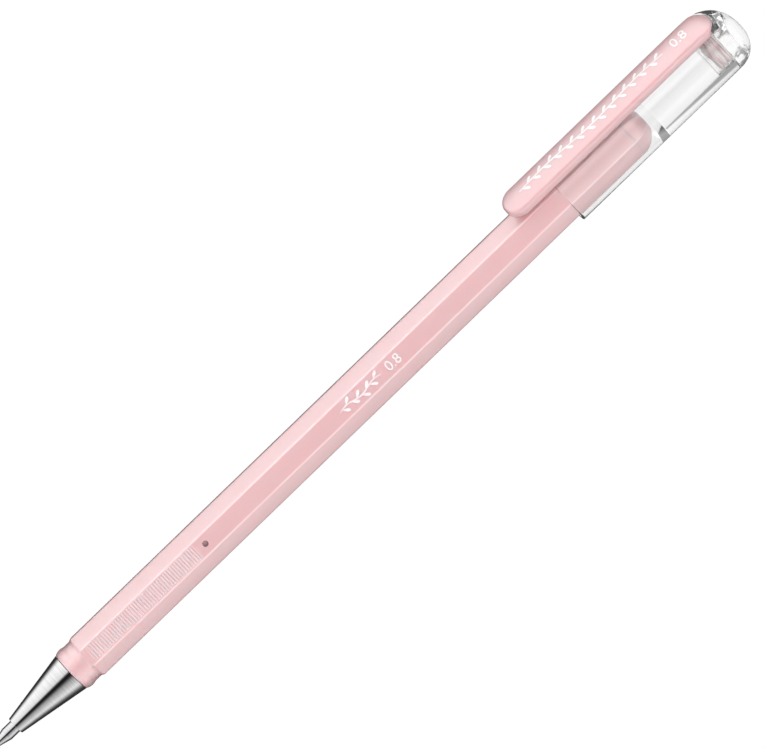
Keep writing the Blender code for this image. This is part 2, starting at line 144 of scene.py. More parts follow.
FILL_GAP = 0.03  # between the ink or grease and the tube
INK_FRONT_RADIUS = 1.5
CONE_BACK = 17.14
CONE_FRONT_RADIUS = 1.52
CONE_HOLE_RADIUS = 1.18
CONE_HOLE_END = 7.4
CONE_BORE_RADIUS = 2.62
THREAD_FRONT = 17.7
THREAD_ROOT_RADIUS = 2.86
THREAD_CREST_RADIUS = 3.02
THREAD_PITCH = 0.8

# The barrel and the tail plug

THREAD_GAP = 0.06
COLLAR_RADIUS = 3.60
BEAD_STATION = 18.1
BEAD_HALF_LENGTH = 0.9
BEAD_HEIGHT = 0.19
NECK_RADIUS = 3.70
NECK_END = 20.1
SHOULDER_LENGTH = 0.8
HALF_SIDE = math.radians(22.5)  # half of what one flat spans, seen from the axis
CORNER_RADIUS = 0.5
FLAT_CROWN = 0.035  # how far each flat of the barrel bellies out
FLAT_HALF_WIDTH = 1.6
THINNING_START = 116.0
THINNING_END = 118.0
BORE_RADIUS = 3.0
GROOVE_FIRST = 21.8
GROOVE_PITCH = 0.5
GROOVE_COUNT = 47
GROOVE_DEPTH = 0.1
GROOVE_HALF_WIDTH = 0.13
GROOVE_HALF_LENGTH = 1.32
GROOVE_END_WALL = 0.07
VENT_STATION = 46.8
VENT_RADIUS = 0.48
PLUG_BORE_RADIUS = 2.2
PLUG_HOLLOW_END = 139.2
PLUG_SPIGOT_RADIUS = 2.93
PLUG_SHOULDER = 139.8

# The cap

CAP_BORE_RADIUS = 4.37
CAP_SEAT_START = 143.2
CAP_SEAT_END = 144.7
CAP_NARROW_RADIUS = 3.54
HEAD_SPIGOT_RADIUS = 3.49
HEAD_BORE_RADIUS = 3.05
HEAD_BORE_END = 160.2
HEAD_POCKET_RADIUS = 2.86
HEAD_POCKET_END = 162.1
HEAD_FRONT = 160.25
LUG_CURVE_START = 157.6
LUG_HALF_WIDTH = 3.0
LUG_CORNER = 1.6
HEAD_FULLNESS = 2.2  # 2 would end the dome and the lug in an ellipse, and more is blunter
SEAL_HOLE_RADIUS = 1.05
SEAL_ROOT_RADIUS = 2.8
SEAL_RIB_RADIUS = 3.0
SEAL_RIBS = 3
CLIP_ANGLE = math.radians(45)
CLIP_HALF_WIDTH = 2.7
CLIP_INNER = 5.4
CLIP_OUTER = 7.84
CLIP_FILLET = 0.7
CLIP_CROWN = math.radians(20)  # how far its outer face leans over where the fillets start
CLIP_CLEARANCE = 0.2
CROWN_RADIUS = (CLIP_HALF_WIDTH - CLIP_FILLET) / math.sin(CLIP_CROWN) + CLIP_FILLET
FOOT_FRONT = 160.4
FOOT_BACK = 161.4
FOOT_HALF_WIDTH = 1.2
FOOT_INNER = 4.0
FOOT_SUNK = 0.3  # how far the foot reaches into the clip

# The printing: (start, end, height, pairs of leaves) of each spray, (start, size) of each number

CLIP_SPRAY = (121.0, 152.4, 2.3, 13)
CLIP_NUMBER = (154.2, 2.6)
BARREL_SPRAY = (76.4, 85.4, 2.2, 4)
BARREL_NUMBER = (86.6, 2.4)
SIZE_MARK = "0.8"
PRINT_HEIGHT = 0.03
PRINT_SUNK = 0.005

# Light

FLOOR_GLOW = 1.02
# the clear plastic's faint painted glow, and the stronger painted glow beside the cap's seat
PAINTED_GLOW = 0.012
SEAT_PAINTED_GLOW = 0.35
SKY_STRENGTH = 1.66
SOFT_SHARE = 0.5  # how much of the sky's brightness lights matt surfaces, on the clip's side
SOFT_SHARE_BEHIND = 0.15  # and on the other
FLOOR_HALF_WIDTH = 1500
LAMP_WIDTH = 800
LAMP_DISTANCE = 1000
LAMP_STATION = 82
FILL_POWER = 12.6
FILL_LEAN = math.radians(-12)  # from straight up, away from the clip
BOUNCE_POWER = 8.0
BOUNCE_LEAN = math.radians(-160)

# The camera looks almost straight down, with the pen aslant in its picture.

LENS = 250
SENSOR_WIDTH = 36
CAMERA_TURN = math.radians(44.03)
CAMERA_TILT = math.radians(2.1)
VIEW_WIDTH = 121.3
VIEW_STATION = 85.5  # in the middle of the picture
VIEW_SIDEWAYS = 0.26

FULL_TURN = 2 * math.pi
FINE = 96  # sides of a large round piece


# Mesh tools


def circle(station, radius, sides=FINE):
    """A ring of points, or one point on the axis where the radius is nothing."""
    if radius < 1e-6:
        return [place(station, 0, 0)]
    return [place(station, FULL_TURN * i / sides, radius) for i in range(sides)]


def skin(rings):
    """A closed surface through rings of points. A ring of one point is an end on the axis; with
    no such ends, the last ring joins the first."""
    bm = bmesh.new()
    loops = [[bm.verts.new(point) for point in ring] for ring in rings]
    if len(loops[0]) > 1:
        loops.append(loops[0])
    for one, other in zip(loops, loops[1:]):
        count = max(len(one), len(other))
        for i in range(count):
            after = (i + 1) % count
            quad = [one[i % len(one)], one[after % len(one)]]
            quad += [other[after % len(other)], other[i % len(other)]]
            bm.faces.new(list(dict.fromkeys(quad)))
    bmesh.ops.recalc_face_normals(bm, faces=bm.faces)
    return bm


def softened(profile, radius, closed):
    """The (station, radius) outline with each corner rounded, as a moulding's or a turning's is."""
    points = [Vector(point) for point in profile]
    result = []
    for i, corner in enumerate(points):
        if not closed and i in (0, len(points) - 1):
            result.append(tuple(corner))
            continue
        before = points[i - 1] - corner
        after = points[(i + 1) % len(points)] - corner
        turn = before.angle(-after, 0)
        reach = min(radius, before.length * 0.45, after.length * 0.45)
        if turn < 0.1 or reach < 0.004:
            result.append(tuple(corner))
            continue
        start = corner + before.normalized() * reach
        end = corner + after.normalized() * reach
        for step in range(5):
            t = step / 4
            bend = start * (1 - t) ** 2 + corner * 2 * t * (1 - t) + end * t ** 2
            result.append(tuple(bend))
    return result


def turned(profile, radius=0.06, sides=FINE):
    """A solid of revolution with softened corners, from (station, radius) pairs."""
    closed = profile[0][1] > 0
    return skin([circle(s, r, sides) for s, r in softened(profile, radius, closed)])


def piece(name, bm, body, material, slot, *nodes):
    """The named object, riding on a body and standing for CAD nodes."""
    mesh = bpy.data.meshes.new(name)
    bm.to_mesh(mesh)
    bm.free()
    mesh.shade_smooth()
    mesh.set_sharp_from_angle(angle=math.radians(32))
    mesh.materials.append(material)
    obj = bpy.data.objects.new(name, mesh)
    bpy.context.scene.collection.objects.link(obj)
    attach(obj, body)
    if nodes:
        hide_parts(*nodes)
    return obj


def cut(bm, cutters):
    """The mesh with other meshes taken out of it."""
    made = []
    for part in [bm, *cutters]:
        mesh = bpy.data.meshes.new("cutting")
        part.to_mesh(mesh)
        part.free()
        obj = bpy.data.objects.new("cutting", mesh)
        bpy.context.scene.collection.objects.link(obj)
        made.append(obj)
    body, *tools = made
    for tool in tools:
        modifier = body.modifiers.new("cut", "BOOLEAN")
        modifier.object = tool
    result = bmesh.new()
    result.from_object(body, bpy.context.evaluated_depsgraph_get())
    for obj in made:
        bpy.data.objects.remove(obj)
    return result


# Materials


class Tree:
    """A node tree under construction, with short ways to add to it."""

    def __init__(self, tree):
        self.tree = tree

    def add(self, kind, **settings):
        node = self.tree.nodes.new(kind)
        for setting, value in settings.items():
            setattr(node, setting, value)
        return node

    def join(self, source, target):
        self.tree.links.new(source, target)

    def math(self, operation, first, second=0):
        """One sum on two sources, each a number or a node's output."""
        node = self.add("ShaderNodeMath", operation=operation)
        for socket, source in zip(node.inputs, (first, second)):
            if isinstance(source, (int, float)):
                socket.default_value = source
            else:
                self.join(source, socket)
        return node.outputs["Value"]

    def ramp(self, value, *stops):
        """Colours at places between 0 and 1."""
        ramp = self.add("ShaderNodeValToRGB")
        elements = ramp.color_ramp.elements
        while len(elements) < len(stops):
            elements.new(0.5)
        for element, (position, colour) in zip(elements, stops):
            element.position = position
            element.color = (*colour, 1)
        self.join(value, ramp.inputs["Fac"])
        return ramp.outputs["Color"]


class Nodes(Tree):
    """A material under construction round its Principled shader."""

    def __init__(self, name, **sockets):
        self.material = bpy.data.materials.new(name)
        self.material.use_nodes = True
        super().__init__(self.material.node_tree)
        self.shader = self.tree.nodes["Principled BSDF"]
        for socket, value in sockets.items():
            self.shader.inputs[socket.replace("_", " ")].default_value = value
        self.position = self.add("ShaderNodeTexCoord").outputs["Object"]

    def noise(self, per_mm, detail=3.0, stretch=(1, 1, 1)):
        """Noise with so many swings per millimetre, stretched along the axes."""
        mapping = self.add("ShaderNodeMapping")
        mapping.inputs["Scale"].default_value = [per_mm / MM * s for s in stretch]
        noise = self.add("ShaderNodeTexNoise")
        noise.inputs["Scale"].default_value = 1
        noise.inputs["Detail"].default_value = detail
        self.join(self.position, mapping.inputs["Vector"])
        self.join(mapping.outputs["Vector"], noise.inputs["Vector"])
        return noise.outputs["Fac"]

    def between(self, value, low, high, start=0.3, end=0.7):
        """A number that runs from low to high as value runs from start to end."""
        scale = self.add("ShaderNodeMapRange")
        scale.inputs["From Min"].default_value = start
        scale.inputs["From Max"].default_value = end
        scale.inputs["To Min"].default_value = low
        scale.inputs["To Max"].default_value = high
        self.join(value, scale.inputs["Value"])
        return scale.outputs["Result"]

    def mix(self, share, colour, other):
        """The colour, turning into the other as share goes from 0 to 1."""
        mix = self.add("ShaderNodeMix", data_type="RGBA")
        self.join(share, mix.inputs[0])
        self.join(colour, mix.inputs[6])
        if isinstance(other, tuple):
            mix.inputs[7].default_value = (*other, 1)
        else:
            self.join(other, mix.inputs[7])
        return mix.outputs[2]

    def from_axis(self):
        """The place on the pen, split up, and how far it is aside of the axis and above it."""
        parts = self.add("ShaderNodeSeparateXYZ")
        self.join(self.position, parts.inputs["Vector"])
        aside = self.math("SUBTRACT", parts.outputs["Y"], AXIS.y)
        upward = self.math("SUBTRACT", parts.outputs["Z"], AXIS.z)
        return parts, aside, upward

    def bump(self, value, height, strength=1.0):
        """Relief of so many millimetres."""
        bump = self.add("ShaderNodeBump")
        bump.inputs["Distance"].default_value = height * MM
        bump.inputs["Strength"].default_value = strength
        self.join(value, bump.inputs["Height"])
        self.join(bump.outputs["Normal"], self.shader.inputs["Normal"])

    def set(self, socket, source):
        self.join(source, self.shader.inputs[socket])


def painted_corner_highlight(nodes):
    """1 along the rounded corners beside the barrel's top and bottom flats, where a lighter colour is
    painted on as a highlight, and 0 elsewhere."""
    parts, aside, upward = nodes.from_axis()
    angle = nodes.math("ARCTAN2", aside, upward)
    from_flat = nodes.math("PINGPONG", angle, HALF_SIDE)
    rounding = nodes.between(from_flat, 0, 1, math.radians(19.9), math.radians(21.2))
    near_middle = nodes.math("LESS_THAN", nodes.math("ABSOLUTE", aside), 3 * MM)
    beside_flat = nodes.math("MULTIPLY", rounding, near_middle)
    front = place(NECK_END + SHOULDER_LENGTH, 0, 0).x
    fade = 0.3 * MM
    behind_neck = nodes.between(parts.outputs["X"], 0, 1, front - fade, front + fade)
    return nodes.math("MULTIPLY", beside_flat, behind_neck)


def grip_painted_shade(nodes, ridge_highlight, floor):
    """1 on the barrel's grooved flats and 0 elsewhere, and the grip's colour there: a painted
    highlight on its ridges, and painted shade, the floor colour, on the floors of its grooves."""
    parts, aside, upward = nodes.from_axis()
    first = place(GROOVE_FIRST, 0, 0).x
    length = (GROOVE_COUNT - 1) * GROOVE_PITCH * MM
    along = nodes.math("SUBTRACT", parts.outputs["X"], first)
    from_groove = nodes.math("PINGPONG", along, GROOVE_PITCH / 2 * MM)
    height = nodes.between(from_groove, 0, 1, 0.05 * MM, 0.19 * MM)
    # painted highlight on the ridges and painted shade on the groove floors
    shade_stripes = nodes.ramp(height, (0, floor), (1, ridge_highlight))
    from_middle = nodes.math("SUBTRACT", along, length / 2)
    reach = length / 2 + GROOVE_PITCH / 2 * MM
    lengthways = nodes.math("LESS_THAN", nodes.math("ABSOLUTE", from_middle), reach)
    sideways = nodes.math("ABSOLUTE", aside)
    upright = nodes.math("ABSOLUTE", upward)
    off_flat = nodes.math("MINIMUM", sideways, upright)
    across = nodes.math("LESS_THAN", off_flat, GROOVE_HALF_LENGTH * MM)
    return nodes.math("MULTIPLY", lengthways, across), shade_stripes


def pearl_plastic(name, light, deep, streak=0.12, glow=None):
    """Opaque pink moulding with faint flow streaks along it, under a clear glossy skin. The barrel's
    has a glow colour, a painted highlight for its corners beside the top and bottom flats, and a grip
    striped with a painted highlight on the ridges and painted shade in the grooves."""
    nodes = Nodes(
        name,
        Subsurface_Weight=1.0,
        Subsurface_Scale=0.0005,
        Subsurface_Radius=(1.0, 0.6, 0.6),
        IOR=3.3,  # pearl pigment throws back more light than plain plastic
        Coat_Weight=1.0,
        Coat_Roughness=0.05,
    )
    flow = nodes.noise(streak, 4.0, (0.12, 1, 1))
    colour = nodes.ramp(flow, (0.3, deep), (0.7, light))
    if glow:
        # painted highlight: the glow colour along the corners beside the top and bottom flats
        colour = nodes.mix(painted_corner_highlight(nodes), colour, glow)
        # the grip: painted highlight on the ridges and painted shade in the grooves
        on_grip, shade_stripes = grip_painted_shade(nodes, GRIP_RIDGE_HIGHLIGHT, GRIP_GROOVE_SHADE)
        colour = nodes.mix(on_grip, colour, shade_stripes)
    nodes.set("Base Color", colour)
    nodes.set("Roughness", nodes.between(nodes.noise(2.0), 0.46, 0.56))
    nodes.bump(nodes.noise(1.2, 2.0), 0.004, 0.6)
    return nodes.material


def clear_plastic(name, tint, waves, seat=False):
    """Clear polystyrene with the waviness of a moulding. It has a faint painted glow all over, and a
    stronger painted glow on both sides of the cone that seats on the tail."""
    nodes = Nodes(name, Transmission_Weight=1.0, IOR=1.5, Emission_Color=(1, 1, 1, 1))
    # painted glow all over the clear plastic
    nodes.shader.inputs["Emission Strength"].default_value = PAINTED_GLOW
    if seat:
        parts, aside, upward = nodes.from_axis()
        squares = nodes.math("ADD", nodes.math("POWER", aside, 2), nodes.math("POWER", upward, 2))
        in_bore = nodes.math("LESS_THAN", squares, ((CAP_BORE_RADIUS - 0.03) * MM) ** 2)
        start = place(CAP_SEAT_START - 0.1, 0, 0).x
        end = place(CAP_SEAT_END + 0.1, 0, 0).x
        after_start = nodes.math("GREATER_THAN", parts.outputs["X"], start)
        before_end = nodes.math("LESS_THAN", parts.outputs["X"], end)
        along = nodes.math("MULTIPLY", after_start, before_end)
        sideways = nodes.between(nodes.math("ABSOLUTE", aside), 0, 1, 2.6 * MM, 3.4 * MM)
        cone = nodes.math("MULTIPLY", nodes.math("MULTIPLY", in_bore, along), sideways)
        # a stronger painted glow on both sides of the seat cone
        nodes.set("Emission Strength", nodes.between(cone, PAINTED_GLOW, SEAT_PAINTED_GLOW, 0, 1))
    deep = [channel - 0.02 for channel in tint]
    nodes.set("Base Color", nodes.ramp(nodes.noise(0.15, 3.0), (0.3, deep), (0.7, tint)))
    nodes.set("Roughness", nodes.between(nodes.noise(0.8), 0.0, 0.02))
    nodes.bump(nodes.noise(0.5, 2.0), waves, 0.5)
    return nodes.material


def turned_metal(name, dark, light, rough, marks=9.0):
    """Bright metal with the fine rings that turning and polishing leave."""
    nodes = Nodes(name, Metallic=1.0)
    rings = nodes.noise(marks, 4.0, (1, 0.02, 0.02))
    nodes.set("Base Color", nodes.ramp(rings, (0.35, dark), (0.65, light)))
    nodes.set("Roughness", nodes.between(rings, rough * 0.7, rough * 1.4))
    nodes.bump(rings, 0.001, 0.3)
    return nodes.material


def translucent_plastic(name, light, deep, clear=0.5, rough=0.25):
    """Milky polypropylene: part of the light goes through it, blurred."""
    nodes = Nodes(name, Transmission_Weight=clear, IOR=1.49)
    cloud = nodes.noise(0.4, 4.0)
    nodes.set("Base Color", nodes.ramp(cloud, (0.3, deep), (0.7, light)))
    nodes.set("Roughness", nodes.between(nodes.noise(1.5), rough, rough + 0.1))
    nodes.bump(nodes.noise(2.0), 0.003, 0.5)
    return nodes.material


def streaked_rubber(name, light, middle, deep):
    """Soft translucent rubber with streaks that run round it."""
    nodes = Nodes(name, Transmission_Weight=0.4, IOR=1.45)
    streak = nodes.noise(2.2, 2.0, (1, 0.12, 0.12))
    colours = ((0.34, deep), (0.46, middle), (0.58, light), (0.70, middle))
    nodes.set("Base Color", nodes.ramp(streak, *colours))
    nodes.set("Roughness", nodes.between(nodes.noise(1.5), 0.35, 0.5))
    nodes.bump(nodes.noise(2.0), 0.004, 0.5)
    return nodes.material


def gel(name, light, deep, rough=0.12):
    """Wet gel or grease, with soft clouds in it."""
    nodes = Nodes(name, Subsurface_Weight=0.3, Subsurface_Scale=0.001, Coat_Weight=0.5)
    nodes.set("Base Color", nodes.ramp(nodes.noise(0.5, 3.0), (0.3, deep), (0.7, light)))
    nodes.set("Roughness", nodes.between(nodes.noise(2.0), rough, rough + 0.08))
    nodes.bump(nodes.noise(1.0), 0.01, 0.4)
    return nodes.material


def print_ink(name, light, deep):
    """Pad-printed ink, a little uneven in cover."""
    nodes = Nodes(name, Specular_IOR_Level=0.4)
    cover = nodes.noise(4.0, 5.0)
    nodes.set("Base Color", nodes.ramp(cover, (0.3, deep), (0.6, light)))
    nodes.set("Roughness", nodes.between(nodes.noise(6.0), 0.35, 0.5))
    nodes.bump(cover, 0.004, 0.5)
    return nodes.material


def light_table(name):
    """The lit white floor: paper with light behind it."""
    material = bpy.data.materials.new(name)
    material.use_nodes = True
    nodes = Tree(material.node_tree)
    nodes.tree.nodes.clear()
    output = nodes.add("ShaderNodeOutputMaterial")
    glow = nodes.add("ShaderNodeEmission")
    glow.inputs["Color"].default_value = (1, 1, 1, 1)
    glow.inputs["Strength"].default_value = FLOOR_GLOW
    nodes.join(glow.outputs["Emission"], output.inputs["Surface"])
    return material


# the grip's painted highlight on its ridges and painted shade in its groove floors
GRIP_RIDGE_HIGHLIGHT = (0.87, 0.64, 0.66)
GRIP_GROOVE_SHADE = (0.71, 0.50, 0.515)
# the glow colour is the painted highlight on the barrel's corners
PINK = pearl_plastic(
    "pearl_pink", (0.82, 0.515, 0.53), (0.78, 0.475, 0.49), glow=(0.90, 0.63, 0.64)
)
CLIP_PINK = pearl_plastic("clip_pink", (0.79, 0.475, 0.495), (0.75, 0.435, 0.455), 0.2)
CLEAR = clear_plastic("clear_plastic", (0.94, 0.941, 0.94), 0.003, seat=True)
CLEAR_HEAD = clear_plastic("clear_head_plastic", (0.975, 0.976, 0.975), 0.3)
CONE_METAL = turned_metal("polished_metal", (0.50, 0.50, 0.50), (0.59, 0.59, 0.59), 0.05)
NIB_METAL = turned_metal("nib_metal", (0.48, 0.48, 0.49), (0.59, 0.59, 0.60), 0.08, 14.0)
CARBIDE = turned_metal("carbide", (0.28, 0.28, 0.30), (0.36, 0.36, 0.38), 0.08, 30.0)
MILKY = translucent_plastic("milky_plastic", (0.93, 0.92, 0.91), (0.86, 0.85, 0.84), 0.25)
TUBE_PLASTIC = translucent_plastic(
    "tube_plastic", (0.97, 0.97, 0.96), (0.92, 0.92, 0.91), 0.9, 0.08
)
INK = gel("gel_ink", (0.83, 0.40, 0.46), (0.76, 0.33, 0.40))
GREASE = gel("grease", (0.88, 0.86, 0.74), (0.80, 0.78, 0.64))
SEAL = streaked_rubber("soft_seal", (0.95, 0.93, 0.92), (0.86, 0.55, 0.56), (0.42, 0.36, 0.36))
WHITE_INK = print_ink("white_print", (0.97, 0.95, 0.95), (0.92, 0.84, 0.84))
PALE_INK = print_ink("pale_print", (0.90, 0.76, 0.765), (0.84, 0.66, 0.67))


# Writing tip and refill


def ball():
    bm = bmesh.new()
    centre = place(BALL_RADIUS, 0, 0)
    bmesh.ops.create_icosphere(
        bm, subdivisions=4, radius=BALL_RADIUS * MM, matrix=Matrix.Translation(centre)
    )
    piece("writing_ball", bm, "ball", CARBIDE, "carbide", "ball")


def nib():
    """The metal point: lip closed over the ball, drilled socket, taper, and shank."""
    reach = BALL_RADIUS + BALL_GAP
    steps = 8
    socket = []
    for i in range(steps + 1):
        angle = SEAT_ANGLE + (LIP_ANGLE - SEAT_ANGLE) * i / steps
        socket.append((BALL_RADIUS + reach * math.cos(angle), reach * math.sin(angle)))
    lip_front, lip_radius = socket[-1]
    profile = [
        (lip_front, lip_radius + LIP_THICKNESS),
        (TAPER_START, TAPER_START_RADIUS),
        (NIB_TAPER_END, NIB_RADIUS),
        (NIB_MARK - 0.1, NIB_RADIUS),
        (NIB_MARK, NIB_RADIUS - 0.05),
        (NIB_MARK + 0.1, NIB_RADIUS),
        (NIB_SHOULDER, NIB_RADIUS),
        (NIB_SHOULDER, NIB_SHANK_RADIUS),
        (NIB_END, NIB_SHANK_RADIUS),
        (NIB_END, NIB_BORE_RADIUS),
        (NIB_TAPER_END, NIB_BORE_RADIUS),
        (NIB_TAPER_END - 0.4, INK_HOLE_RADIUS),
    ]
    rounded = softened(profile, 0.03, False)
    bm = skin([circle(s, r, 64) for s, r in rounded + socket])
    piece("nib_point", bm, "refill", NIB_METAL, "nib_metal", "nib")


def tip_holder():
    """The plastic piece between nib and tube, with the ink channel through it."""
    profile = [
        (HOLDER_FRONT, NIB_SOCKET_RADIUS),
        (HOLDER_FRONT, HOLDER_TIP_RADIUS),
        (HOLDER_TAPER_END, HOLDER_RADIUS),
        (HOLDER_RIM, HOLDER_RADIUS),
        (HOLDER_RIM, HOLDER_RIM_RADIUS),
        (TUBE_FRONT - 0.1, HOLDER_RIM_RADIUS),
        (TUBE_FRONT - 0.1, HOLDER_SPIGOT_RADIUS),
        (HOLDER_END, HOLDER_SPIGOT_RADIUS - 0.06),
        (HOLDER_END, HOLDER_BORE_RADIUS),
        (HOLDER_BORE_END, HOLDER_BORE_RADIUS),
        (CHANNEL_END, CHANNEL_RADIUS),
        (NIB_SOCKET_END, CHANNEL_RADIUS),
        (NIB_SOCKET_END, NIB_SOCKET_RADIUS),
    ]
    piece("nib_holder", turned(profile, 0.08, 64), "refill", MILKY, "milky_plastic", "tip_holder")


def refill():
    """The tube, and the ink and the grease in it."""
    bore = TUBE_RADIUS - TUBE_WALL
    profile = [
        (TUBE_FRONT, TUBE_RADIUS),
        (TUBE_END, TUBE_RADIUS),
        (TUBE_END, bore),
        (TUBE_FRONT, bore),
    ]
    bm = turned(profile, 0.1, 64)
    obj = piece("refill_tube", bm, "refill", TUBE_PLASTIC, "tube_plastic", "ink_tube")
    obj.visible_shadow = False  # lets the lamps reach the ink
    fill = bore - FILL_GAP
    # (radius, depth) of the dish in the ink's back end, where the grease presses on it, and in
    # the grease's own back end.
    dish = [(0.0, 1.2), (0.6, 1.1), (1.2, 0.75), (1.8, 0.3), (fill, 0.0)]
    behind_holder = HOLDER_END + 0.1
    profile = [
        (INK_FRONT, 0),
        (INK_FRONT, INK_FRONT_RADIUS),
        (behind_holder, INK_FRONT_RADIUS),
        (behind_holder, fill),
    ]
    profile += [(INK_END - depth, radius) for radius, depth in reversed(dish)]
    bm = skin([circle(s, r, 64) for s, r in profile])
    piece("gel_ink_fill", bm, "refill", INK, "gel_ink", "ink_column")
    profile = [(FOLLOWER_FRONT - depth, radius) for radius, depth in dish]
    profile += [(FOLLOWER_END - depth, radius) for radius, depth in reversed(dish)]
    bm = skin([circle(s, r, 64) for s, r in profile])
    piece("grease_follower", bm, "refill", GREASE, "grease", "ink_follower")


def nose_cone():
    """Polished cone, and behind it a spigot with a real thread, made as one skin."""
    outer = softened(
        [
            (CONE_FRONT, CONE_HOLE_RADIUS),
            (CONE_FRONT, CONE_FRONT_RADIUS),
            (CONE_BACK, CONE_BACK_RADIUS),
            (CONE_BACK, THREAD_ROOT_RADIUS),
            (THREAD_FRONT - 0.2, THREAD_ROOT_RADIUS),
        ],
        0.08,
        False,
    )
    rings = [circle(s, r) for s, r in outer]
    thread_back = CONE_END - 0.2
    steps = round((thread_back - THREAD_FRONT) / THREAD_PITCH * 8)
    for i in range(steps + 1):
        station = THREAD_FRONT + (thread_back - THREAD_FRONT) * i / steps
        fade = min(1, (station - THREAD_FRONT) / 0.5, (thread_back - station) / 0.5)
        ring = []
        for k in range(FINE):
            turns = (station - THREAD_FRONT) / THREAD_PITCH - k / FINE
            slope = max(0, 1 - abs(turns % 1 - 0.5) * 3.2)
            lift = (THREAD_CREST_RADIUS - THREAD_ROOT_RADIUS) * min(1, slope * 1.6) * fade
            ring.append(place(station, FULL_TURN * k / FINE, THREAD_ROOT_RADIUS + lift))
        rings.append(ring)
    inner = softened(
        [
            (CONE_END - 0.1, THREAD_ROOT_RADIUS),
            (CONE_END, THREAD_ROOT_RADIUS - 0.05),
            (CONE_END, CONE_BORE_RADIUS),
            (CONE_BACK, CONE_BORE_RADIUS),
            (CONE_HOLE_END, CONE_HOLE_RADIUS + 0.02),
            (CONE_HOLE_END, CONE_HOLE_RADIUS),
            (CONE_FRONT + 0.1, CONE_HOLE_RADIUS),
        ],
        0.05,
        False,
    )
    rings += [circle(s, r) for s, r in inner]
    piece("metal_cone", skin(rings), "nose_cone", CONE_METAL, "polished_metal", "nose_cone")


# Barrel and tail plug


def barrel_face(aside):
    """How far a flat of the barrel is from the axis, beside its middle."""
    return HALF_FLAT - FLAT_CROWN * (aside / FLAT_HALF_WIDTH) ** 2


def octagon():
    """(angle, radius, grooved) round the barrel: flats with close points where the grooves end,
    and rounded corners."""
    reach = (barrel_face(FLAT_HALF_WIDTH) - CORNER_RADIUS) / math.cos(HALF_SIDE)
    edge = GROOVE_HALF_LENGTH
    floor_edge = edge - GROOVE_END_WALL
    outline = []
    for flat in range(8):
        normal = flat * 2 * HALF_SIDE
        grooved = flat % 2 == 0
        for aside in (-edge, -floor_edge, -edge / 2, 0, edge / 2, floor_edge, edge):
            depth = 1 if grooved and abs(aside) < edge else 0
            angle = normal + math.atan2(aside, barrel_face(aside))
            outline.append((angle, math.hypot(aside, barrel_face(aside)), depth))
        for i in range(5):
            turn = HALF_SIDE * 2 * i / 4
            along = reach * math.cos(HALF_SIDE) + CORNER_RADIUS * math.cos(turn)
            aside = reach * math.sin(HALF_SIDE) + CORNER_RADIUS * math.sin(turn)
            outline.append((normal + math.atan2(aside, along), math.hypot(along, aside), 0))
    return outline


OCTAGON = octagon()


def eight_sided(station, half_flat, squareness, depth=0):
    """A ring that is round at squareness 0 and the barrel's octagon at 1, sunk where grooved."""
    return [
        place(station, angle, half_flat + squareness * (radius - HALF_FLAT) - depth * grooved)
        for angle, radius, grooved in OCTAGON
    ]


def barrel():
    """Bead, neck and shoulder, grooved grip, plain length, thinner tail, and back up the bore."""
    rings = [eight_sided(BARREL_FRONT, COLLAR_RADIUS - 0.06, 0)]
    steps = 12
    for i in range(steps + 1):
        t = 2 * i / steps - 1
        base = COLLAR_RADIUS + (NECK_RADIUS - COLLAR_RADIUS) * (t + 1) / 2
        bulge = BEAD_HEIGHT * math.cos(t * math.pi / 2)
        along = max(t * BEAD_HALF_LENGTH, BARREL_FRONT + 0.05 - BEAD_STATION)
        rings.append(eight_sided(BEAD_STATION + along, base + bulge, 0))
    for i in range(9):
        t = i / 8
        eased = t * t * (3 - 2 * t)
        half_flat = NECK_RADIUS + (HALF_FLAT - NECK_RADIUS) * eased
        rings.append(eight_sided(NECK_END + t * SHOULDER_LENGTH, half_flat, eased))
    for i in range(GROOVE_COUNT):
        middle = GROOVE_FIRST + i * GROOVE_PITCH
        for along, depth in ((-1, 0), (-0.55, 0.6), (0, 1), (0.55, 0.6), (1, 0)):
            station = middle + along * GROOVE_HALF_WIDTH
            rings.append(eight_sided(station, HALF_FLAT, 1, depth * GROOVE_DEPTH))
    # The plain length has two rings of its own, so that its faces are not too long and thin.
    for station in (VENT_STATION, 70, 93, THINNING_START):
        rings.append(eight_sided(station, HALF_FLAT, 1))
    back = PLUG_SHOULDER - 0.01
    for station in (THINNING_END, back):
        rings.append(eight_sided(station, TAIL_HALF_FLAT, 1))
    for station, radius in (
        (back, BORE_RADIUS),
        (TUBE_FRONT, BORE_RADIUS),
        (TUBE_FRONT, THREAD_CREST_RADIUS + THREAD_GAP),
        (BARREL_FRONT, THREAD_CREST_RADIUS + THREAD_GAP),
    ):
        rings.append([place(station, angle, radius) for angle, _, _ in OCTAGON])
    bm = skin(rings)
    drill = bmesh.new()
    bmesh.ops.create_cone(
        drill,
        cap_ends=True,
        segments=40,
        radius1=VENT_RADIUS * MM,
        radius2=(VENT_RADIUS + 0.04) * MM,
        depth=2 * MM,
        matrix=Matrix.Translation(place(VENT_STATION, 0, HALF_FLAT)),
    )
    bm = cut(bm, [drill])
    piece("pearl_barrel", bm, "barrel", PINK, "pearl_pink", "barrel")


